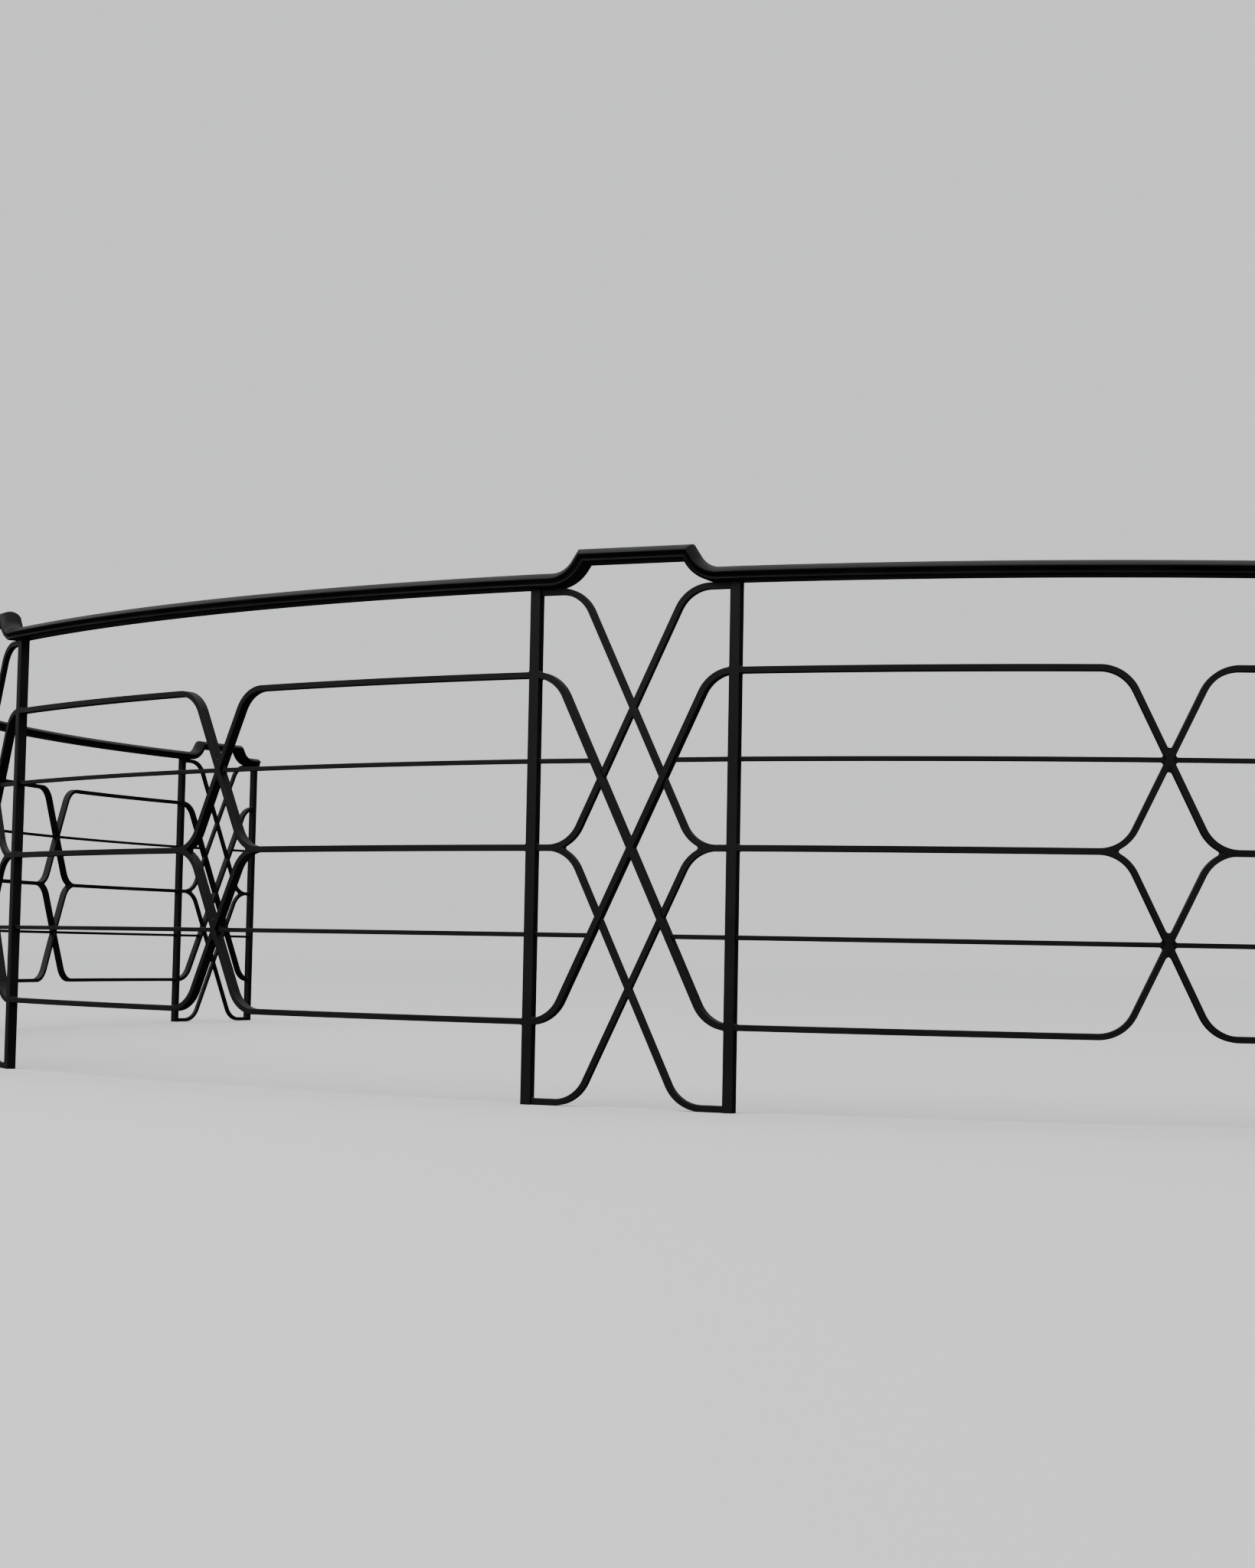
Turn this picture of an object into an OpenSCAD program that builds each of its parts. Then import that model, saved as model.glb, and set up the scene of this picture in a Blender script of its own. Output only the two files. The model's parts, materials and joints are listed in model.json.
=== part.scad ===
// Bowed iron balcony railing: long bays with crossed bars between narrow pier panels.
// Millimetres, +Z up, feet at Z = 0. The bow faces -Y and the ends meet a wall behind it.

/* [Plan] */
// Radius of the bow, to the middle of the bars
bow_r = 3600; // [3000:10:4000]
// Degrees of the bow, from the first post to the last
bow_sweep = 174; // [160:1:190]
// Number of long bays
bays = 5; // [3:1:6]
// Post to post across a pier panel, centre to centre
pier_w = 430; // [410:1:470]

/* [Heights] */
// Floor to the top of the low handrail
total_h = 1070; // [1040:1:1100]
// Floor to the middle of the middle bar
middle_z = 514.5; // [500:0.5:530]
// Distance between neighbouring bars
level_gap = 174.6; // [168:0.2:178]
// Rise of the handrail over a pier panel
rail_rise = 47; // [38:1:60]

/* [Posts and bars] */
// Side of a square post
post_w = 22; // [18:0.5:26]
// Height of a main bar in a bay
main_h = 12.7; // [10:0.1:14]
// Height of a long bar in a pier panel
long_h = 13.8; // [10:0.1:15]
// Depth of the main and long bars, front to back
main_d = 22; // [14:0.5:26]
// Side of a light square bar
light_w = 13.5; // [9:0.1:15]
// Side of a thin square bar
thin_w = 9.5; // [6:0.1:11]

/* [Bends] */
// Angle of every sloping bar, from the horizontal
lean = 64.5; // [63:0.5:67]
// Radius of every bend, to the middle of the bar
bend_r = 75; // [55:1:85]
// Pier panel: half the distance between the crossing bars where they leave the middle bar
fork_x = 133; // [126:1:138]

/* [Handrail] */
// Width of the handrail
rail_w = 57; // [46:1:64]
// Height of the handrail
rail_h = 31; // [29:0.5:34]
// Height of the rounded crown
crown_h = 13; // [8:0.5:14]
// Height of the square edge under the crown
edge_h = 2; // [1:0.5:4]
// Height of the hollow under the edge
cove_h = 9.5; // [7:0.5:10]
// Depth of the hollow, on each side
cove_d = 4.5; // [1:0.5:6]
// Height of the bead under the hollow
bead_h = 4.5; // [2:0.5:5]
// How far the bottom strip stands back from the bead, on each side
strip_inset = 3; // [1:0.5:5]
// Slope of the ramps beside the raised part
ramp_lean = 57; // [50:1:62]
// Half the length of the raised part, on its top
raised_half = 122.5; // [100:0.5:130]
// Radius of the top of the handrail where a ramp starts
ramp_r = 51; // [15:1:60]

/* [Hidden] */
$fn = 360;
// Straight pieces in a bend of a bar, in half the crown of the handrail, and in the bend into a ramp
bend_steps = 12;
crown_steps = 6;
ramp_steps = 5;

// Plan: angles are measured at the centre of the bow, from -Y towards +X
pier_angle = 2 * asin(pier_w / 2 / bow_r);
pitch = (bow_sweep - pier_angle) / bays;
pier_r = bow_r * cos(pier_angle / 2);
pier_end = (pier_w + post_w) / 2;
last_pier = (bow_sweep - pier_angle) / 2;
// How far the two ends reach behind the centre of the bow
ends_back = pier_end * sin(last_pier) - (pier_r - rail_w / 2) * cos(last_pier);
bow_front = bays % 2 == 1 ? bow_r + rail_w / 2 : pier_r + rail_w / 2;
bow_y = (bow_front - ends_back) / 2;

// Heights of the bars, from under the handrail down to the floor
rail_z = total_h - rail_h;
top_z = rail_z - light_w / 2;
foot_z = light_w / 2;
bar_z = [for (i = [2:-1:-2]) middle_z + i * level_gap];

// Half widths where the sloping bars would meet the level ones without their bends
bay_x = level_gap / tan(lean);
pier_x = 2 * level_gap / tan(lean);
top_x = (top_z - middle_z) / tan(lean) - fork_x;
foot_x = (middle_z - foot_z) / tan(lean) - fork_x;
bend_cut = bend_r * tan(lean / 2);
post_face = (pier_w - post_w) / 2;

PIERS = [for (i = [1:bays + 1]) i];
BAYS = [for (i = [1:bays]) i];

function pier_at(i) = -last_pier + (i - 1) * pitch;
function bay_at(i) = pier_at(i) + pitch / 2;
function turned(a, p) = [p[0] * cos(a) - p[1] * sin(a), p[0] * sin(a) + p[1] * cos(a)];

// Points along an arc about c, from angle a to angle b
function arc(c, r, a, b, steps) =
    [for (i = [0:steps]) c + r * [cos(a + (b - a) * i / steps), sin(a + (b - a) * i / steps)]];

// One edge of a bar that runs level, slopes down and runs level again.
// side is +1 for its upper edge and -1 for its lower edge.
function bar_edge(x0, high, xa, low, xb, x1, w, side) = concat(
    [[x0, high + side * w / 2]],
    arc([xa - bend_cut, high - bend_r], bend_r + side * w / 2, 90, 90 - lean, bend_steps),
    arc([xb + bend_cut, low + bend_r], bend_r - side * w / 2, 270 - lean, 270, bend_steps),
    [[x1, low + side * w / 2]]
);

// The whole outline of such a bar, from x0 at the high level to x1 at the low one
module bent_bar(x0, high, xa, low, xb, x1, w) {
    lower = bar_edge(x0, high, xa, low, xb, x1, w, -1);
    upper = bar_edge(x0, high, xa, low, xb, x1, w, 1);
    last = len(lower) - 1;
    polygon(concat(upper, [for (i = [last:-1:0]) lower[i]]));
}

// A bar and its mirror image, which cross in the middle
module crossed(x0, high, xa, low, xb, x1, w) {
    bent_bar(x0, high, xa, low, xb, x1, w);
    mirror([1, 0]) bent_bar(x0, high, xa, low, xb, x1, w);
}

module at_angle(a) {
    translate([0, bow_y, 0]) rotate([0, 0, a]) children();
}

// Stands an outline up in the flat plane of a pier panel, between its two posts
module pier_sheet(d) {
    translate([0, -pier_r, 0]) rotate([90, 0, 0]) linear_extrude(d, center = true) intersection() {
        children();
        translate([-post_face, 0]) square([2 * post_face, rail_z]);
    }
}

// The space of a bay in plan, between the side faces of its two posts
module bay_plan(reach) {
    near = turned(pitch / 2, [-pier_end, -(pier_r - reach)]);
    far = turned(pitch / 2, [-pier_end, -(bow_r + reach) / cos(pitch / 2)]);
    polygon([near, far, [-far[0], far[1]], [-near[0], near[1]]]);
}

// Bends an outline to the bow, as bars of depth d that end on the posts
module bay_sheet(d) {
    sag = bow_r * (1 - cos(pitch / 2));
    intersection() {
        translate([0, -bow_r + sag + d, 0]) rotate([90, 0, 0]) linear_extrude(sag + 2 * d) children();
        linear_extrude(total_h) intersection() {
            difference() {
                circle(bow_r + d / 2);
                circle(bow_r - d / 2);
            }
            bay_plan(2 * d);
        }
    }
}

// Half of the handrail's section, from the middle of its underside out and up to its crown
function rail_side() =
    let (crown_r = (pow(rail_w / 2, 2) + crown_h * crown_h) / (2 * crown_h))
    let (crown_a = asin(rail_w / 2 / crown_r))
    let (edge_z = rail_h - crown_h - edge_h)
    let (bead_z = edge_z - cove_h)
    let (bead_x = rail_w / 2 - cove_d)
    concat(
        [[bead_x - strip_inset, 0],
         [bead_x - strip_inset, bead_z - bead_h],
         [bead_x, bead_z - bead_h],
         [bead_x, bead_z],
         [bead_x - cove_d / 2, bead_z + cove_h / 4],
         [bead_x - cove_d / 2, bead_z + cove_h / 2],
         [rail_w / 2, edge_z]],
        arc([0, rail_h - crown_r], crown_r, 90 - crown_a, 90, crown_steps)
    );

function rail_section() =
    let (right = rail_side())
    concat(right, [for (i = [len(right) - 2:-1:0]) [-right[i][0], right[i][1]]]);

// Sections along the handrail over a pier panel, in the panel's own plane: from its right end, round the
// bend into the ramp, to the mitre at the top of the ramp, and the same mirrored down to its left end
function raised_sections() =
    let (section = rail_section())
    let (turn_x = raised_half + rail_rise / tan(ramp_lean) + ramp_r * tan(ramp_lean / 2))
    let (under_r = ramp_r + rail_h)
    let (end = [for (p = section) [pier_end, p[0], rail_z + p[1]]])
    let (bend = [for (i = [0:ramp_steps]) let (a = ramp_lean * i / ramp_steps) [for (p = section)
        [turn_x - (under_r - p[1]) * sin(a), p[0], rail_z + under_r - (under_r - p[1]) * cos(a)]]])
    let (mitre = [for (p = section)
        [raised_half - (rail_h - p[1]) * tan(ramp_lean / 2), p[0], rail_z + rail_rise + p[1]]])
    let (right = concat([end], bend, [mitre]))
    concat(right, [for (i = [len(right) - 1:-1:0]) [for (p = right[i]) [-p[0], p[1], p[2]]]]);

// A solid through a row of sections that all have the same number of points
module skin(sections) {
    n = len(sections[0]);
    last = len(sections) - 1;
    polyhedron(
        points = [for (s = sections, p = s) p],
        faces = concat(
            [[for (j = [0:n - 1]) j]],
            [for (i = [0:last - 1], j = [0:n - 1])
                [i * n + j, (i + 1) * n + j, (i + 1) * n + (j + 1) % n, i * n + (j + 1) % n]],
            [[for (j = [n - 1:-1:0]) last * n + j]]
        )
    );
}

module post(side) {
    color("#1b1a1d") translate([side * pier_w / 2, -pier_r, rail_z / 2])
        cube([post_w, post_w, rail_z], center = true);
}

// Three pairs of crossing bars, with the ends of the thin rails
module pier_scroll() {
    run = pier_x + bend_cut + post_w;
    color("#201f22") {
        pier_sheet(light_w) union() {
            crossed(-run, top_z, -top_x, middle_z, fork_x, run, light_w);
            crossed(-run, middle_z, -fork_x, foot_z, foot_x, run, light_w);
        }
        pier_sheet(main_d) crossed(-run, bar_z[0], -pier_x, bar_z[4], pier_x, run, long_h);
        pier_sheet(thin_w) for (z = [bar_z[1], bar_z[3]], side = [-1, 1]) {
            thin_end = abs(z - middle_z) / tan(lean);
            translate([side * (post_face + thin_end) / 2, z])
                square([post_face - thin_end, thin_w], center = true);
        }
    }
}

// Long main bars that cross in the middle of a bay
module bay_scroll() {
    run = bow_r * sin(pitch / 2);
    color("#201f22") for (i = [0, 2], side = [0, 1]) mirror([side, 0, 0])
        bay_sheet(main_d) bent_bar(-run, bar_z[i], -bay_x, bar_z[i + 2], bay_x, run, main_h);
}

// Thin rails of a bay: each ends in a point that fills the notch of the crossing bars
module bay_thin_rails() {
    run = bow_r * sin(pitch / 2);
    waist = main_h / 2 / sin(lean);
    shoulder = waist + thin_w / 2 / tan(lean);
    color("#232225") bay_sheet(thin_w) for (z = [bar_z[1], bar_z[3]], side = [-1, 1])
        translate([0, z]) polygon([
            [side * waist, 0],
            [side * shoulder, thin_w / 2],
            [side * run, thin_w / 2],
            [side * run, -thin_w / 2],
            [side * shoulder, -thin_w / 2]
        ]);
}

module bay_handrail() {
    color("#161518") intersection() {
        translate([0, 0, rail_z]) rotate([0, 0, -90 - pitch / 2])
            rotate_extrude(angle = pitch) translate([bow_r, 0]) polygon(rail_section());
        linear_extrude(total_h + rail_h) bay_plan(2 * rail_w);
    }
}

module raised_handrail() {
    color("#161518") translate([0, -pier_r, 0]) skin(raised_sections());
}

for (i = PIERS) {
    at_angle(pier_at(i)) post(-1);
    at_angle(pier_at(i)) post(1);
    at_angle(pier_at(i)) pier_scroll();
    at_angle(pier_at(i)) raised_handrail();
}
for (i = BAYS) {
    at_angle(bay_at(i)) bay_scroll();
    at_angle(bay_at(i)) bay_thin_rails();
    at_angle(bay_at(i)) bay_handrail();
}
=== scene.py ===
import json
import math

import bpy
import numpy as np
from mathutils import Matrix, Vector


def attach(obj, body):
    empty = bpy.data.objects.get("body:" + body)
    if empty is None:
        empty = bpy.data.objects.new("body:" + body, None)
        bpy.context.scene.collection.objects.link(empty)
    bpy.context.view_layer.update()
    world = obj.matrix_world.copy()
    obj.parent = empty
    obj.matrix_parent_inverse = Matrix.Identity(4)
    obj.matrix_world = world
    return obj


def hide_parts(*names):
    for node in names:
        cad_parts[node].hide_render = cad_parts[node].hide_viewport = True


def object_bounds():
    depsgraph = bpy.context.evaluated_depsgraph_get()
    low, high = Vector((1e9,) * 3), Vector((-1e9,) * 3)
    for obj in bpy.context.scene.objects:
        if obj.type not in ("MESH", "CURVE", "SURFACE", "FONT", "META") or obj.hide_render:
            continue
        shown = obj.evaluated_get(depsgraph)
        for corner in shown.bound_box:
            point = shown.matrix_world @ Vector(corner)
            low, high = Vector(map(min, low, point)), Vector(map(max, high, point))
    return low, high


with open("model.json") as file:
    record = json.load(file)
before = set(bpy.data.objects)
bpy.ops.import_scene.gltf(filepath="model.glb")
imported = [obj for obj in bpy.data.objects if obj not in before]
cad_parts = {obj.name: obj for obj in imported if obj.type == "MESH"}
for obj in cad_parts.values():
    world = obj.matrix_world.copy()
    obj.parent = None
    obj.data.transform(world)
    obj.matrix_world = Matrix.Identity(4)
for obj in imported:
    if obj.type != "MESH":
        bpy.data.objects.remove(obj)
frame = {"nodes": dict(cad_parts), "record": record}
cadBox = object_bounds()
print("railing solids:", len(frame["nodes"]))

# The railing's plan and heights, in metres and degrees, as its solids have them
bow = {
    "radius": 3.600,        # to the middle of the bars
    "sweep": 174.0,         # from the first post to the last
    "bays": 5,
    "pierWidth": 0.430,     # post to post across a pier panel
    "railTop": 1.070,       # top of the low handrail
    "railRise": 0.047,      # step up over a pier panel
    "middle": 0.5145,       # height of the middle bar
    "levelGap": 0.1746,     # between neighbouring bars
}
post = {
    "width": 0.022,
    "corner": 0.0016,
    "intoRail": 0.001,      # how far its top reaches into the handrail
    "ringStep": 0.12,
    "pierHold": 0.9,        # how far a pier's bars reach into it, as a share of its corner
    "bayHold": 0.8,         # and a bay's bars
}
bars = {
    "height": 0.0127,       # main bars of a bay
    "long": 0.0138,         # long bars of a pier panel, in height
    "depth": 0.022,
    "light": 0.0135,        # light square bars of the pier panels
    "thin": 0.0095,         # thin square rails
    "corner": 0.0011,
    "lean": 64.5,           # slope of every bent bar
    "bend": 0.075,          # radius of every bend
    "fork": 0.133,          # where the crossing bars of a pier leave the middle bar
    "stub": 0.004,          # level end of a lower bar, past its bend
    "levelStep": 0.05,      # spacing of rings along a straight run
    "bendSteps": 20,
    "cornerSteps": 3,
    "shy": 0.0002,          # a bar that shares its place with another is this much smaller
}
rail = {
    "width": 0.057,
    "height": 0.031,
    "crown": 0.013,
    "edge": 0.002,          # square edge under the crown
    "cove": 0.0095,         # hollow under the edge
    "coveDepth": 0.0045,
    "bead": 0.0045,
    "stripInset": 0.003,    # of the bottom strip, from the bead
    "rampLean": 57.0,
    "raisedHalf": 0.1225,   # half the raised part, on its top
    "rampRadius": 0.051,    # of the top, where a ramp starts
    "mitreSoft": 0.0012,    # how far the mitre is rounded
    "bendLead": 0.004,      # from the last level ring to the bend
    "bendRings": 17,
    "endStep": 0.006,       # spacing of rings on the level ends, which turn with the bow
    "flatRing": 0.05,       # the one ring between the middle of the raised part and its mitre
}

pierAngle = 2 * math.degrees(math.asin(bow["pierWidth"] / 2 / bow["radius"]))
pitch = (bow["sweep"] - pierAngle) / bow["bays"]
pierRadius = bow["radius"] * math.cos(math.radians(pierAngle / 2))
bowY = cadBox[0].y + bow["radius"] + rail["width"] / 2
pierEnd = (bow["pierWidth"] + post["width"]) / 2
postFace = (bow["pierWidth"] - post["width"]) / 2
railZ = bow["railTop"] - rail["height"]
levels = [bow["middle"] + i * bow["levelGap"] for i in (2, 1, 0, -1, -2)]
slope = math.tan(math.radians(bars["lean"]))
bendCut = bars["bend"] * math.tan(math.radians(bars["lean"] / 2))
bayX = bow["levelGap"] / slope
pierX = 2 * bow["levelGap"] / slope
topZ = railZ - bars["light"] / 2
footZ = bars["light"] / 2
topX = (topZ - bow["middle"]) / slope - bars["fork"]
footX = (bow["middle"] - footZ) / slope - bars["fork"]
pierRun = postFace + post["pierHold"] * post["corner"]
bayFace = bow["radius"] * math.sin(math.radians(pitch / 2) - math.asin(pierEnd / bow["radius"]))
bayRun = bayFace + post["bayHold"] * post["corner"]


def pierPanel(number, plan="flat"):
    # a flat panel between two posts; its number counts from the left, from 1
    return {"angle": (number - 1) * pitch - (bow["sweep"] - pierAngle) / 2, "plan": plan}


def bayPanel(number):
    # a panel bent to the bow, between two piers
    return {"angle": (number - 0.5) * pitch - (bow["sweep"] - pierAngle) / 2, "plan": "bow"}


def turnAt(panel, x):
    # how far the panel has turned at x: on the bow it is the arc whose sine is x over the radius. A handrail
    # over a pier turns only over the posts, from nothing at their inner face to the bow's own turn outside
    onBow = np.arcsin(x / bow["radius"])
    share = {"bow": 1.0, "flat": 0.0, "overPosts": np.clip((np.abs(x) - postFace) / post["width"], 0, 1)}
    return onBow * share[panel["plan"]]


def place(panel, x, out, z):
    # x along the panel, out from its middle plane and z up become points of the row frame: on the bow the
    # point lies at the radius plus out, and on a flat panel straight off the chord
    x, out, z = np.broadcast_arrays(x, out, z)
    turn = turnAt(panel, x)
    onBow = {"bow": True, "flat": False, "overPosts": np.abs(x) > bow["pierWidth"] / 2}[panel["plan"]]
    depth = np.where(onBow, np.sqrt(bow["radius"] ** 2 - x ** 2), pierRadius)
    px = x + out * np.sin(turn)
    py = -depth - out * np.cos(turn)
    a = math.radians(panel["angle"])
    return np.stack([px * math.cos(a) - py * math.sin(a), px * math.sin(a) + py * math.cos(a) + bowY, z], -1)


def aim(panel, x, dx, dout, dz):
    # directions along, out of and up the panel, turned by its angle and by its own turn at x
    x, dx, dout, dz = np.broadcast_arrays(x, dx, dout, dz)
    a = math.radians(panel["angle"]) + turnAt(panel, x)
    return np.stack([dx * np.cos(a) + dout * np.sin(a), dx * np.sin(a) - dout * np.cos(a), dz], -1)


def arc(cx, cz, radius, start, stop, steps):
    # points along an arc, and the outward direction at each
    t = np.radians(np.linspace(start, stop, steps + 1))
    outward = np.stack([np.cos(t), np.sin(t)], -1)
    return np.array([cx, cz]) + radius * outward, outward


def roundedBox(height, depth, corner=bars["corner"]):
    # outline of a bar: a rectangle with quarter circles at its corners.
    # columns are across the path, outwards from the panel, and the outline's own normal
    rows = []
    for i, (sa, sb) in enumerate(((1, 1), (-1, 1), (-1, -1), (1, -1))):
        points, outward = arc(sa * (height / 2 - corner), sb * (depth / 2 - corner), corner,
                              90 * i, 90 * i + 90, bars["cornerSteps"])
        rows.append(np.hstack([points, outward]))
    return np.vstack(rows)


def carry(panel, path, outline):
    # a profile carried along a path: each ring is the outline, with its first coordinate along the path's
    # up vector and its second outwards from the panel. path columns: point, up vector, shading up vector
    px, pz, ux, uz, mx, mz = path.T[:, :, None]
    across, out, na, nb = outline.T[:, None, :]
    x = px + ux * across
    z = pz + uz * across
    lengths = np.hypot(*np.diff(path[:, :2], axis=0).T)
    around = np.hypot(*np.diff(outline[:, :2], axis=0, append=outline[:1, :2]).T)
    return {
        "points": place(panel, x, out, z),
        "normals": aim(panel, x, mx * na, nb, mz * na),
        "along": np.concatenate([[0], np.cumsum(lengths)]),
        "around": np.concatenate([[0], np.cumsum(around)]),
    }


def straightPath(x0, z0, x1, z1, step):
    # a straight run, with a ring every step or a little less; up is its direction turned a quarter left
    n = max(2, int(math.ceil(math.hypot(x1 - x0, z1 - z0) / step)) + 1)
    t = np.linspace(0, 1, n)[:, None]
    points = np.array([x0, z0]) * (1 - t) + np.array([x1, z1]) * t
    direction = np.array([x1 - x0, z1 - z0]) / math.hypot(x1 - x0, z1 - z0)
    up = np.tile([-direction[1], direction[0]], (n, 1))
    return np.hstack([points, up, up])


def bentPath(x0, high, xa, low, xb, x1):
    # level at the high end, round a bend, down the slope, round the other way and level at the low end.
    # a bend that would start beyond the bar's end is cut there, upright, where its arc crosses the end
    lean = bars["lean"]
    r = bars["bend"]
    lead = xa - bendCut
    tail = xb + bendCut
    cutHigh = math.degrees(math.asin(max(0.0, x0 - lead) / r))
    cutLow = math.degrees(math.asin(max(0.0, tail - x1) / r))
    first, up = arc(lead, high - r, r, 90 - cutHigh, 90 - lean, bars["bendSteps"])
    second, down = arc(tail, low + r, r, 270 - lean, 270 - cutLow, bars["bendSteps"])
    parts = [
        np.hstack([first, up, up]),
        straightPath(*first[-1], *second[0], bars["levelStep"])[1:-1],
        np.hstack([second, -down, -down]),
    ]
    if not cutHigh:
        parts.insert(0, straightPath(x0, high, lead, high, bars["levelStep"])[:-1])
    if not cutLow:
        parts.append(straightPath(tail, low, x1, low, bars["levelStep"])[1:])
    path = np.vstack(parts)
    # an end stands upright, taller by one over the cosine of its slope
    for end in (0, -1):
        path[end, 2:4] = 0, 1 / path[end, 3]
    return path


def mirrored(path):
    # the same path with left and right swapped: x and the sideways part of both vectors change sign, and
    # the rows turn over, so that it still runs the same way
    return path[::-1] * np.array([-1, 1, -1, 1, -1, 1])


# Weld fills, with the radius of each kind

weld = {
    "bayCross": 0.006,      # in the tall notches of a bay's crossing
    "bayRail": 0.005,       # between a thin rail and the crossing bars
    "pierCross": 0.003,
    "fork": 0.0035,         # where two bars leave the middle bar
    "atPost": 0.0035,
    "thin": 0.0025,
    "setBack": 0.0012,      # of its face from the faces of the bars it joins, front and back
    "edge": 0.0012,
    "sink": 0.0015,         # how far it reaches into the bars
    "arcSteps": 6,
    "edgeSteps": 3,
}


def weldPlate(panel, corner, first, second, radius, depth):
    # fills the notch at a corner between two edges, whose directions are given in degrees: the free side is
    # an arc of the radius that meets both edges, and the other sides sink into the bars. The plate is
    # stacked from front to back, rounded where it meets its two faces
    half = math.radians(second - first) / 2
    axis = math.radians(first + second) / 2
    sink = weld["sink"]
    turn = math.pi / 2 - half
    t = np.linspace(-turn, turn, weld["arcSteps"] + 1)
    free = np.stack([radius / math.sin(half) - radius * np.cos(t), radius * np.sin(t)], -1)
    deep = np.array([[-math.sin(half), math.cos(half)], [-math.sin(half), -math.cos(half)]]) * sink
    outline = np.vstack([free, free[-1] + deep[0], [-sink, 0], free[0] + deep[1]])
    facing = np.vstack([np.stack([np.cos(t), -np.sin(t)], -1), [[0, 1], [-1, 0], [0, -1]]])
    spin = np.array([[math.cos(axis), math.sin(axis)], [-math.sin(axis), math.cos(axis)]])
    outline = corner + outline @ spin
    facing = facing @ spin
    edge = weld["edge"]
    a = np.radians(np.linspace(0, 90, weld["edgeSteps"] + 1))
    out = depth / 2 - weld["setBack"] - edge + edge * np.sin(a)
    out = np.concatenate([-out[::-1], out])[:, None]
    inward = np.concatenate([1 - np.cos(a[::-1]), 1 - np.cos(a)])[:, None] * edge
    # only the free side is rounded, not the three points that sink into the bars
    inward = inward * ([1.0] * len(free) + [0.0] * 3)
    tilt = np.concatenate([-np.sin(a[::-1]), np.sin(a)])[:, None]
    flatShare = np.sqrt(1 - tilt ** 2)
    x = outline[:, 0] - facing[:, 0] * inward
    z = outline[:, 1] - facing[:, 1] * inward
    around = np.hypot(*np.diff(outline, axis=0, append=outline[:1]).T)
    return {
        "points": place(panel, x, out, z),
        "normals": aim(panel, x, facing[:, 0] * flatShare, tilt, facing[:, 1] * flatShare),
        "along": out.ravel(),
        "around": np.concatenate([[0], np.cumsum(around)]),
    }


def crossingWelds(panel, x, z, height, radius, depth):
    # the two tall notches of a crossing: their corners lie over and under it by half the bar's height
    # over the cosine of the slope
    lean = bars["lean"]
    rise = height / 2 / math.cos(math.radians(lean))
    return [weldPlate(panel, (x, z + rise), lean, 180 - lean, radius, depth),
            weldPlate(panel, (x, z - rise), 180 + lean, 360 - lean, radius, depth)]


def forkWelds(panel, x, z, height, depth):
    # between two bars that bend away from a level one at x, up and down: the edges part where the bend's
    # outer edge has come back to the middle line
    outer = bars["bend"] + height / 2
    reach = math.sqrt(outer ** 2 - bars["bend"] ** 2)
    part = math.degrees(math.asin(reach / outer))
    return [weldPlate(panel, (-x + reach, z), -part, part, weld["fork"], depth),
            weldPlate(panel, (x - reach, z), 180 - part, 180 + part, weld["fork"], depth)]


def postWelds(panel, x, z, height, depth, radius, sides, rise=0.0):
    # above and below a bar whose two ends meet the posts at x on either side; rise is the bar's own slope
    # there, in degrees, as it leaves the post
    plates = []
    for up in sides:
        corner = z + up * height / 2 / math.cos(math.radians(rise))
        left = (rise, 90) if up > 0 else (-90, rise)
        right = (90, 180 - rise) if up > 0 else (180 - rise, 270)
        plates.append(weldPlate(panel, (-x, corner), *left, radius, depth))
        plates.append(weldPlate(panel, (x, corner), *right, radius, depth))
    return plates


def signedVolume(points, faces):
    # sum of the tetrahedra between the origin and each face's triangles
    total = 0.0
    for i in range(1, faces.shape[1] - 1):
        a, b, c = points[faces[:, 0]], points[faces[:, i]], points[faces[:, i + 1]]
        total += np.einsum("ij,ij->i", a, np.cross(b, c)).sum() / 6
    return total


def gridFaces(rows, columns):
    # quads between neighbouring rings, each ring closed on itself, and the ring and column of each quad
    ringOf = np.repeat(np.arange(rows - 1), columns)
    columnOf = np.tile(np.arange(columns), rows - 1)
    here = ringOf * columns
    after = (columnOf + 1) % columns
    quads = np.stack([here + columnOf, here + columns + columnOf, here + columns + after, here + after], -1)
    return quads, ringOf, columnOf


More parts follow.
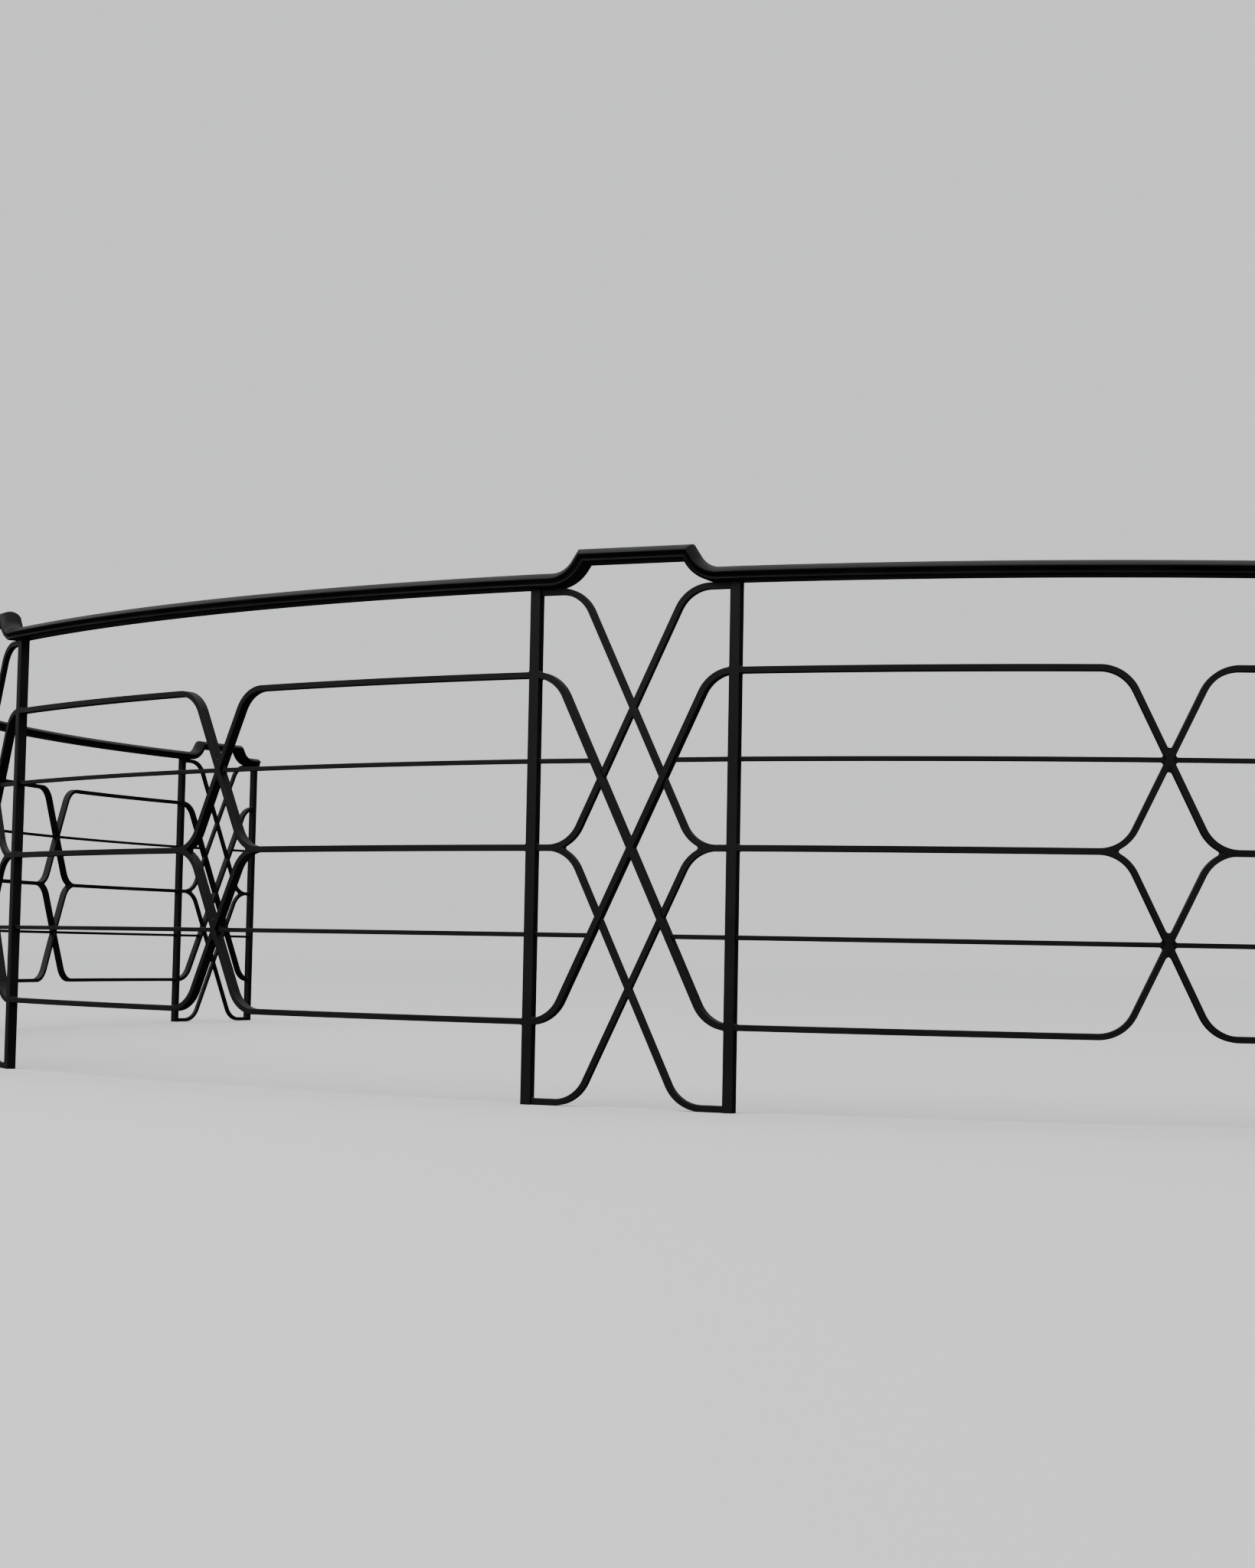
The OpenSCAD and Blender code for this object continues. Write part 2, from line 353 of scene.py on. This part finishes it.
def buildPiece(name, skins, slot, node):
    # joins swept skins into one mesh with their own normals and a map in metres along and around them.
    # the ends are flat faces, so they keep a normal of their own, and faces turn outwards where the skin's
    # volume comes out negative
    points, normals, faces, uvs, smooth = [], [], [], [], []
    start = 0
    for skin in skins:
        rows, columns = skin["points"].shape[:2]
        flat = skin["points"].reshape(-1, 3)
        quads, ringOf, columnOf = gridFaces(rows, columns)
        caps = [np.arange(columns)[::-1], np.arange(columns) + (rows - 1) * columns]
        volume = signedVolume(flat, quads) + sum(signedVolume(flat, cap[None, :]) for cap in caps)
        along, around = skin["along"], skin["around"]
        corners = np.stack([
            np.stack([along[ringOf], around[columnOf]], -1),
            np.stack([along[ringOf + 1], around[columnOf]], -1),
            np.stack([along[ringOf + 1], around[columnOf + 1]], -1),
            np.stack([along[ringOf], around[columnOf + 1]], -1),
        ], 1)
        if volume < 0:
            quads = quads[:, ::-1]
            corners = corners[:, ::-1]
            caps = [cap[::-1] for cap in caps]
        points.append(flat)
        normals.append(skin["normals"].reshape(-1, 3)[quads.ravel()])
        faces.extend((quads + start).tolist())
        smooth += [True] * len(quads) + [False] * len(caps)
        uvs.append(corners.reshape(-1, 2))
        for cap in caps:
            ring = flat[cap]
            normals.append(np.zeros((len(cap), 3)))
            faces.append((cap + start).tolist())
            uvs.append(np.stack([ring[:, 0] + ring[:, 1], ring[:, 2]], -1))
        start += len(flat)
    mesh = bpy.data.meshes.new(name)
    mesh.from_pydata(np.vstack(points).tolist(), [], faces)
    mesh.uv_layers.new(name="metal").data.foreach_set("uv", np.vstack(uvs).ravel())
    mesh.polygons.foreach_set("use_smooth", smooth)
    mesh.normals_split_custom_set(np.vstack(normals).tolist())
    mesh.materials.append(paints[slot])
    piece = bpy.data.objects.new(name, mesh)
    bpy.context.scene.collection.objects.link(piece)
    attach(piece, "root")
    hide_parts(node)


# Paint

grain = {
    "patchScale": 7.0,      # noises on object coordinates, per metre
    "patchDetail": 4.0,
    "patchRange": (0.35, 0.68),
    "dustScale": 38.0,
    "dustDetail": 6.0,
    "dustRoughness": 0.62,
    "dustRange": (0.40, 0.68),
    "dustShares": (0.25, 1.0),      # of the dust, between its patches and on them
    "dustFacing": (0.45, 0.98),     # how far a face looks up where dust begins and where it is full
    "dustRough": 0.5,       # roughness that dust adds
    "strokes": (18.0, 900.0, 1.0),  # brush marks along and across a bar, per metre
    "strokeDetail": 3.0,
    "strokeRough": 0.03,
    "strokeRelief": 0.6,
    "peelScale": 620.0,
    "peelDetail": 2.0,
    "peelRelief": 0.4,
    "glossRange": (0.3, 0.7),
    "relief": 0.0004,       # height of the bumps, in metres
}


def nodeOf(tree, kind, **settings):
    # a new node: each setting is an attribute of it where it has one of that name, and else a socket
    made = tree.nodes.new(kind)
    for key, value in settings.items():
        if hasattr(made, key):
            setattr(made, key, value)
        else:
            made.inputs[key].default_value = value
    return made


def noiseOf(tree, vector, scale, detail, roughness=0.5):
    # soft noise between 0 and 1
    made = nodeOf(tree, "ShaderNodeTexNoise", Scale=scale, Detail=detail, Roughness=roughness)
    tree.links.new(vector, made.inputs["Vector"])
    return made.outputs["Fac"]


def rangeOf(tree, value, before, after=(0.0, 1.0)):
    # the value, stretched from the range before to the range after and held inside it
    made = nodeOf(tree, "ShaderNodeMapRange")
    for key, number in zip(("From Min", "From Max", "To Min", "To Max"), before + after):
        made.inputs[key].default_value = number
    tree.links.new(value, made.inputs["Value"])
    return made.outputs["Result"]


def mathOf(tree, operation, first, second):
    # either side is a number or another node's output
    made = nodeOf(tree, "ShaderNodeMath", operation=operation)
    for socket, value in zip(made.inputs, (first, second)):
        if isinstance(value, (int, float)):
            socket.default_value = value
        else:
            tree.links.new(value, socket)
    return made.outputs[0]


def blendOf(tree, factor, first, second):
    # numbers mixed by the factor
    made = nodeOf(tree, "ShaderNodeMix", data_type="FLOAT")
    for socket, value in ((made.inputs[0], factor), (made.inputs[2], first), (made.inputs[3], second)):
        if isinstance(value, float):
            socket.default_value = value
        else:
            tree.links.new(value, socket)
    return made.outputs[0]


def mixOf(tree, factor, first, second):
    # colours mixed by the factor
    made = nodeOf(tree, "ShaderNodeMix", data_type="RGBA")
    tree.links.new(factor, made.inputs[0])
    for socket, value in ((made.inputs[6], first), (made.inputs[7], second)):
        if isinstance(value, tuple):
            socket.default_value = value
        else:
            tree.links.new(value, socket)
    return made.outputs[2]


def ironPaint(name, look):
    # satin black over iron: two blacks in soft patches, dust that lies on what faces up, brush marks along
    # the bar, and a fine orange peel
    material = bpy.data.materials.new(name)
    material.use_nodes = True
    tree = material.node_tree
    shader = tree.nodes["Principled BSDF"]
    link = tree.links.new
    onObject = nodeOf(tree, "ShaderNodeTexCoord").outputs["Object"]
    alongBar = nodeOf(tree, "ShaderNodeUVMap", uv_map="metal").outputs["UV"]
    stretch = nodeOf(tree, "ShaderNodeMapping", Scale=grain["strokes"])
    link(alongBar, stretch.inputs["Vector"])
    patches = noiseOf(tree, onObject, grain["patchScale"], grain["patchDetail"])
    colour = mixOf(tree, rangeOf(tree, patches, grain["patchRange"]), look["black"], look["faded"])
    facing = nodeOf(tree, "ShaderNodeSeparateXYZ")
    link(nodeOf(tree, "ShaderNodeNewGeometry").outputs["Normal"], facing.inputs[0])
    upward = rangeOf(tree, facing.outputs["Z"], grain["dustFacing"])
    dustNoise = noiseOf(tree, onObject, grain["dustScale"], grain["dustDetail"], grain["dustRoughness"])
    dustPatches = rangeOf(tree, dustNoise, grain["dustRange"], grain["dustShares"])
    dust = mathOf(tree, "MULTIPLY", mathOf(tree, "MULTIPLY", upward, dustPatches), look["dustShare"])
    colour = mixOf(tree, dust, colour, look["dust"])
    link(colour, shader.inputs["Base Color"])
    streaks = noiseOf(tree, stretch.outputs["Vector"], 1.0, grain["strokeDetail"])
    peel = noiseOf(tree, onObject, grain["peelScale"], grain["peelDetail"])
    streakRough = rangeOf(tree, streaks, grain["glossRange"], (-grain["strokeRough"], grain["strokeRough"]))
    rough = rangeOf(tree, patches, grain["glossRange"], (look["roughLow"], look["roughHigh"]))
    rough = mathOf(tree, "ADD", rough, streakRough)
    rough = mathOf(tree, "ADD", rough, mathOf(tree, "MULTIPLY", dust, grain["dustRough"]))
    link(rough, shader.inputs["Roughness"])
    shader.inputs["Specular IOR Level"].default_value = look["specular"]
    strokeRelief = mathOf(tree, "MULTIPLY", streaks, grain["strokeRelief"])
    relief = mathOf(tree, "ADD", strokeRelief, mathOf(tree, "MULTIPLY", peel, grain["peelRelief"]))
    bump = nodeOf(tree, "ShaderNodeBump", Strength=look["bump"], Distance=grain["relief"])
    link(relief, bump.inputs["Height"])
    link(bump.outputs["Normal"], shader.inputs["Normal"])
    return material


satin = {
    "black": (0.0046, 0.0036, 0.0037, 1),
    "faded": (0.0092, 0.0074, 0.0074, 1),
    "dust": (0.15, 0.134, 0.114, 1),
    "dustShare": 0.08,
    "roughLow": 0.42,
    "roughHigh": 0.56,
    "specular": 0.36,
    "bump": 0.5,
}
# the handrail's black is darker all over, which is painted shade, and its paint is worn smoother
handrailShadedWorn = satin | {
    "black": (0.0028, 0.0024, 0.0026, 1),
    "specular": 0.22,
    "roughLow": 0.32,
    "roughHigh": 0.44,
}
paints = {
    "post_paint": ironPaint("postPaint", satin | {"dustShare": 0.10}),
    "bar_paint": ironPaint("barPaint", satin),
    "thin_bar_paint": ironPaint("thinBarPaint", satin | {"roughLow": 0.48, "roughHigh": 0.60}),
    # the handrail's paint: the same satin with a darker black as painted shade
    "handrail_paint": ironPaint("handrailShadedPaint", handrailShadedWorn),
}
slotOf = {row["node"]: row["material_slot"] for row in frame["record"]["subparts"]}
for nodeName, solid in frame["nodes"].items():
    solid.data.materials.clear()
    solid.data.materials.append(paints[slotOf[nodeName]])
print("paints mixed:", len(paints))


# Posts

def postSkin(number, side):
    # a rounded square carried straight up, from the floor to just inside the handrail
    x = side * bow["pierWidth"] / 2
    path = straightPath(x, 0.0, x, railZ + post["intoRail"], post["ringStep"])
    box = roundedBox(post["width"], post["width"], post["corner"])
    return carry(pierPanel(number), path, box)


for number in range(1, bow["bays"] + 2):
    for sideName, side in (("left", -1), ("right", 1)):
        buildPiece(f"postIron_{number}_{sideName}", [postSkin(number, side)], "post_paint",
                   f"post_{number}_{sideName}")
print("posts up")


# Bars

def boxOf(height, depth, slimmer=0):
    # a bar's outline, made smaller by so many times the shy amount
    return roundedBox(height - slimmer * bars["shy"], depth - slimmer * bars["shy"])


def bayBars(number):
    # two crossing pairs; the lower pair leaves the middle bar where the upper pair joins it
    panel = bayPanel(number)
    height, depth = bars["height"], bars["depth"]
    start = bayX + bendCut + bars["stub"]
    upper = bentPath(-bayRun, levels[0], -bayX, levels[2], bayX, bayRun)
    lower = bentPath(-start, levels[2], -bayX, levels[4], bayX, bayRun)
    skins = []
    for slimmer, path in ((0, upper), (1, mirrored(upper)), (2, lower), (3, mirrored(lower))):
        skins.append(carry(panel, path, boxOf(height, depth, slimmer)))
    for z in (levels[1], levels[3]):
        skins += crossingWelds(panel, 0.0, z, height, weld["bayCross"], depth)
    skins += forkWelds(panel, bayX + bendCut, levels[2], height, depth)
    for z in (levels[0], levels[2], levels[4]):
        skins += postWelds(panel, bayFace, z, height, depth, weld["atPost"], (1, -1))
    return skins


def thinRails(number):
    # each ends inside the crossing bars, a quarter of their height from the middle, with a small fill above
    # and below it at its post and in its notches, whose corners lie where its edges meet the bars' edges
    panel = bayPanel(number)
    thin = bars["thin"]
    lean = bars["lean"]
    waist = bars["height"] / 4
    corner = bars["height"] / 2 / math.sin(math.radians(lean)) + thin / 2 / slope
    skins = []
    for z in (levels[1], levels[3]):
        skins.append(carry(panel, straightPath(-bayRun, z, -waist, z, bars["levelStep"]), boxOf(thin, thin)))
        skins.append(carry(panel, straightPath(waist, z, bayRun, z, bars["levelStep"]), boxOf(thin, thin)))
        skins += postWelds(panel, bayFace, z, thin, thin, weld["thin"], (1, -1))
        for x, up, first, second in ((corner, 1, 0, lean), (-corner, 1, 180 - lean, 180),
                                     (-corner, -1, 180, 180 + lean), (corner, -1, -lean, 0)):
            skins.append(weldPlate(panel, (x, z + up * thin / 2), first, second, weld["bayRail"], thin))
    return skins


def pierBars(number):
    # three crossing pairs between two posts, each bar a hair smaller than the one it shares its run with
    panel = pierPanel(number)
    light, thin = bars["light"], bars["thin"]
    lean = bars["lean"]
    middle = bow["middle"]
    top = bentPath(-pierRun, topZ, -topX, middle, bars["fork"], pierRun)
    foot = bentPath(-pierRun, middle, -bars["fork"], footZ, footX, pierRun)
    long = bentPath(-pierRun, levels[0], -pierX, levels[4], pierX, pierRun)
    skins = [
        carry(panel, long, boxOf(bars["long"], bars["depth"])),
        carry(panel, mirrored(long), boxOf(bars["long"], bars["depth"], 1)),
    ]
    for slimmer, path in enumerate((top, mirrored(top), foot, mirrored(foot))):
        skins.append(carry(panel, path, boxOf(light, light, slimmer)))
    topCross = middle + slope * bars["fork"]
    footCross = middle - slope * bars["fork"]
    sideX = bars["fork"] / 2
    sideZ = slope * sideX
    crossings = [(0, topCross), (0, middle), (0, footCross)]
    crossings += [(across * sideX, middle + up * sideZ) for up in (1, -1) for across in (1, -1)]
    for x, z in crossings:
        both = (bars["long"], bars["depth"]) if x == 0 and z == middle else (light, light)
        skins += crossingWelds(panel, x, z, both[0], weld["pierCross"], both[1])
    skins += forkWelds(panel, bars["fork"] + bendCut, middle, light, light)
    # the bends of the long bars start behind the posts' faces, so there the bars already slope
    hidden = pierX + bendCut - postFace
    rise = math.degrees(math.asin(hidden / bars["bend"]))
    drop = bars["bend"] - math.sqrt(bars["bend"] ** 2 - hidden ** 2)
    for z, way in ((levels[0] - drop, -1), (levels[4] + drop, 1)):
        skins += postWelds(panel, postFace, z, bars["long"], bars["depth"], weld["atPost"], (1, -1),
                           way * rise)
    skins += postWelds(panel, postFace, middle, light, light, weld["atPost"], (1, -1))
    skins += postWelds(panel, postFace, topZ, light, light, weld["atPost"], (-1,))
    skins += postWelds(panel, postFace, footZ, light, light, weld["atPost"], (1,))
    for z in (levels[1], levels[3]):
        x = abs(z - middle) / slope
        skins.append(carry(panel, straightPath(-pierRun, z, -x, z, bars["levelStep"]), boxOf(thin, thin)))
        skins.append(carry(panel, straightPath(x, z, pierRun, z, bars["levelStep"]), boxOf(thin, thin)))
        skins += postWelds(panel, postFace, z, thin, thin, weld["thin"], (1, -1))
        # the long bar leans over the rail's end on one side of it and away on the other
        for up in (1, -1):
            over = up * (z - middle) > 0
            angle = lean if over else 180 - lean
            edgeX = (x + bars["long"] / 2 / math.sin(math.radians(lean))
                     + (thin / 2 / slope if over else -thin / 2 / slope))
            right = (0, angle) if up > 0 else (-angle, 0)
            left = (180 - angle, 180) if up > 0 else (180, 180 + angle)
            skins.append(weldPlate(panel, (edgeX, z + up * thin / 2), *right, weld["thin"], thin))
            skins.append(weldPlate(panel, (-edgeX, z + up * thin / 2), *left, weld["thin"], thin))
    return skins


for number in range(1, bow["bays"] + 1):
    buildPiece(f"bayIron_{number}", bayBars(number), "bar_paint", f"bay_scroll_{number}")
    buildPiece(f"thinRails_{number}", thinRails(number), "thin_bar_paint", f"bay_thin_rails_{number}")
for number in range(1, bow["bays"] + 2):
    buildPiece(f"pierIron_{number}", pierBars(number), "bar_paint", f"pier_scroll_{number}")
print("bars bent")


# Handrail

curves = {
    "soft": 0.0012,         # radius of the strip's corner and of the edge
    "edgeStart": -60,       # where the edge's arc starts, in degrees from straight out
    "shoulder": 0.003,      # radius where the edge turns into the crown
    "shoulderDrop": 0.001,  # of that arc's centre, under the top of the edge
    "crownShare": 0.93,     # how much of the crown's angle its own arc covers
    "hollowStart": 0.6,     # how far in the hollow starts, in radii of the bead
    "hollowOut": 2.2,       # powers of its way outwards and up
    "hollowUp": 0.8,
    "beadStep": 0.0002,     # from the top of the strip to the bead
    "softSteps": 3,
    "beadSteps": 8,
    "hollowSteps": 8,
    "shoulderSteps": 4,
    "crownSteps": 12,
}


def railOutline():
    # half the moulding from the middle of its underside to its crown, then the same mirrored. The corners,
    # bead and crown are arcs and the hollow is two powers of one run; the normals come from the edges
    w = rail["width"] / 2
    edgeTop = rail["height"] - rail["crown"]
    edgeZ = edgeTop - rail["edge"]
    beadTop = edgeZ - rail["cove"]
    beadX = w - rail["coveDepth"]
    beadR = rail["bead"] / 2
    stripX = beadX - rail["stripInset"]
    crownR = (w ** 2 + rail["crown"] ** 2) / (2 * rail["crown"])
    crownA = math.degrees(math.asin(w / crownR))
    soft = curves["soft"]
    strip, _ = arc(stripX - soft, soft, soft, -90, 0, curves["softSteps"])
    stripTop = [[stripX, beadTop - rail["bead"] - curves["beadStep"]]]
    bead, _ = arc(beadX - beadR, beadTop - beadR, beadR, -90, 90, curves["beadSteps"])
    t = np.linspace(0, 1, curves["hollowSteps"] + 1)
    start = beadR * curves["hollowStart"]
    hollow = np.stack([beadX - start + (w - beadX + start) * t ** curves["hollowOut"],
                       beadTop + (edgeZ - beadTop) * t ** curves["hollowUp"]], -1)
    edge, _ = arc(w - soft, edgeZ + soft, soft, curves["edgeStart"], 0, curves["softSteps"])
    shoulder, _ = arc(w - curves["shoulder"], edgeTop - curves["shoulderDrop"], curves["shoulder"],
                      0, 90 - crownA, curves["shoulderSteps"])
    crown, _ = arc(0, rail["height"] - crownR, crownR, 90 - crownA * curves["crownShare"], 90,
                   curves["crownSteps"])
    right = np.vstack([[[0, 0], [stripX / 2, 0]], strip, stripTop, bead, hollow[1:], edge, shoulder, crown])
    left = right[-2:0:-1] * np.array([-1, 1])
    ring = np.vstack([right, left])
    before = ring - np.roll(ring, 1, 0)
    after = np.roll(ring, -1, 0) - ring
    tangent = before / np.hypot(*before.T)[:, None] + after / np.hypot(*after.T)[:, None]
    tangent /= np.hypot(*tangent.T)[:, None]
    # columns: up, outwards, normal up, normal outwards
    return np.stack([ring[:, 1], ring[:, 0], -tangent[:, 0], tangent[:, 1]], -1)


moulding = railOutline()


def bayRail(number):
    # the moulding carried level along the bow, from pier to pier
    return carry(bayPanel(number), straightPath(-bayFace, railZ, bayFace, railZ, bars["levelStep"]), moulding)


def raisedRail(number):
    # right half from its end, round the bend into the ramp, to the mitre; then the same mirrored.
    # round the bend each ring stands square to the arc; at the mitre it leans by half the ramp's slope
    lean = math.radians(rail["rampLean"])
    underR = rail["rampRadius"] + rail["height"]
    turnX = rail["raisedHalf"] + bow["railRise"] / math.tan(lean) + rail["rampRadius"] * math.tan(lean / 2)
    level = mirrored(straightPath(-pierEnd, railZ, -turnX - rail["bendLead"], railZ, rail["endStep"]))
    t = np.linspace(0, lean, rail["bendRings"])
    up = np.stack([np.sin(t), np.cos(t)], -1)
    bend = np.hstack([np.array([turnX, railZ + underR]) - underR * up, up, up])
    half = math.tan(lean / 2)
    corner = np.array([rail["raisedHalf"] - rail["height"] * half, railZ + bow["railRise"]])
    soft = rail["mitreSoft"]
    slopeWay = np.array([math.cos(lean), -math.sin(lean)])
    slopeUp = [math.sin(lean), math.cos(lean)]
    softUp = [math.sin(lean / 2), math.cos(lean / 2)]
    mitre = np.array([
        [*(corner + soft * slopeWay), half, 1.0, *slopeUp],
        [*corner, half, 1.0, *softUp],
        [*(corner - [soft, 0]), half, 1.0, 0.0, 1.0],
    ])
    flat = [[rail["flatRing"], railZ + bow["railRise"], 0.0, 1.0, 0.0, 1.0]]
    right = np.vstack([level[::-1], bend, mitre, flat])
    return carry(pierPanel(number, "overPosts"), np.vstack([right, mirrored(right)]), moulding)


for number in range(1, bow["bays"] + 1):
    buildPiece(f"handrailBow_{number}", [bayRail(number)], "handrail_paint", f"bay_handrail_{number}")
for number in range(1, bow["bays"] + 2):
    buildPiece(f"handrailStep_{number}", [raisedRail(number)], "handrail_paint", f"raised_handrail_{number}")
print("handrail on")


# Floor, light and camera

studio = {
    "floor": (0.70, 0.695, 0.685, 1),
    "floorRoughness": 0.9,
    "floorHalf": 40.0,
    "low": (1.0, 0.965, 0.93),      # the sky's colour at the horizon
    "high": (0.93, 0.975, 1.0),     # and straight up
    "level": 0.44,          # of the sky's light at the horizon
    "zenith": 1.20,         # what it gains straight up, with the square of the height
    "front": 0.44,          # what it gains in front of the railing and loses behind it
    "below": 0.05,          # what the iron mirrors from under the horizon, where it would see the floor
    "horizon": 0.04,        # half the height over which the one turns into the other
    "lamp": 220.0,
    "lampSize": (6.0, 5.0),
    "lampPlace": (-1.5, -7.5, 7.0),
    "lampTarget": (0.3, -1.2, 0.4),
}
view = {
    "place": (4.2444, -5.5128, 0.3097),
    "yaw": -39.054,
    "pitch": 3.717,
    "roll": 1.071,
    "focal": 3362.9,        # pixels of the 1639 x 2048 frame
    "frameHeight": 2048,
    "sensor": 36.0,
    "farthest": 200,        # metres that the camera sees
}

ground = bpy.data.meshes.new("floor")
half = studio["floorHalf"]
corners = [(x * half, y * half, 0) for x, y in ((-1, -1), (1, -1), (1, 1), (-1, 1))]
ground.from_pydata(corners, [], [(0, 1, 2, 3)])
floorPaint = bpy.data.materials.new("floorPaint")
floorPaint.use_nodes = True
floorShader = floorPaint.node_tree.nodes["Principled BSDF"]
floorShader.inputs["Base Color"].default_value = studio["floor"]
floorShader.inputs["Roughness"].default_value = studio["floorRoughness"]
ground.materials.append(floorPaint)
floor = bpy.data.objects.new("floor", ground)
bpy.context.scene.collection.objects.link(floor)
floor.visible_glossy = False


def airWorld():
    # soft sky: warm at the horizon and cool overhead, brighter with the square of the height, and a little
    # brighter in front. Under the horizon it is nearly dark, and that is what the iron's sides mirror from
    # below. The camera itself sees one pale tone, the floor's colour times the light that this sky lays on
    # it: weighed by the cosine from the zenith, the square counts for a half and the tint as coolShare
    world = bpy.data.worlds.new("air")
    world.use_nodes = True
    tree = world.node_tree
    link = tree.links.new
    back = tree.nodes["Background"]
    way = nodeOf(tree, "ShaderNodeSeparateXYZ")
    link(nodeOf(tree, "ShaderNodeTexCoord").outputs["Generated"], way.inputs[0])
    up = mathOf(tree, "MAXIMUM", way.outputs["Z"], 0.0)
    overhead = mathOf(tree, "MULTIPLY", mathOf(tree, "MULTIPLY", up, up), studio["zenith"])
    ahead = mathOf(tree, "MULTIPLY", way.outputs["Y"], -studio["front"])
    light = mathOf(tree, "ADD", mathOf(tree, "ADD", overhead, ahead), studio["level"])
    above = rangeOf(tree, way.outputs["Z"], (-studio["horizon"], studio["horizon"]))
    light = blendOf(tree, above, studio["below"], light)
    seen = nodeOf(tree, "ShaderNodeLightPath").outputs["Is Camera Ray"]
    tint = mixOf(tree, up, studio["low"] + (1,), studio["high"] + (1,))
    fallen = studio["level"] + studio["zenith"] / 2
    coolShare = (studio["level"] * 2 / 3 + studio["zenith"] * 2 / 5) / fallen
    tones = zip(studio["floor"], studio["low"], studio["high"])
    pale = tuple(floorTone * (low + coolShare * (high - low)) for floorTone, low, high in tones)
    link(mixOf(tree, seen, tint, pale + (1,)), back.inputs["Color"])
    link(blendOf(tree, seen, light, fallen), back.inputs["Strength"])
    return world


def softbox(name, position, target, size, power):
    # a rectangular lamp turned from its place to its target
    lamp = bpy.data.lights.new(name, "AREA")
    lamp.shape = "RECTANGLE"
    lamp.size, lamp.size_y = size
    lamp.energy = power
    holder = bpy.data.objects.new(name, lamp)
    bpy.context.scene.collection.objects.link(holder)
    holder.location = position
    holder.rotation_euler = (Vector(target) - Vector(position)).to_track_quat("-Z", "Y").to_euler()
    return holder


bpy.context.scene.world = airWorld()
softbox("frontLight", studio["lampPlace"], studio["lampTarget"], studio["lampSize"], studio["lamp"])

lens = bpy.data.cameras.new("camera")
lens.sensor_width = view["sensor"]
lens.lens = view["sensor"] * view["focal"] / view["frameHeight"]
lens.clip_end = view["farthest"]
eye = bpy.data.objects.new("camera", lens)
bpy.context.scene.collection.objects.link(eye)
eye.matrix_world = (Matrix.Translation(view["place"]) @ Matrix.Rotation(math.radians(-view["yaw"]), 4, "Z")
                    @ Matrix.Rotation(math.radians(90 + view["pitch"]), 4, "X")
                    @ Matrix.Rotation(math.radians(view["roll"]), 4, "Z"))
bpy.context.scene.camera = eye
bpy.context.scene.view_settings.look = "AgX - Medium High Contrast"
print("studio lit")
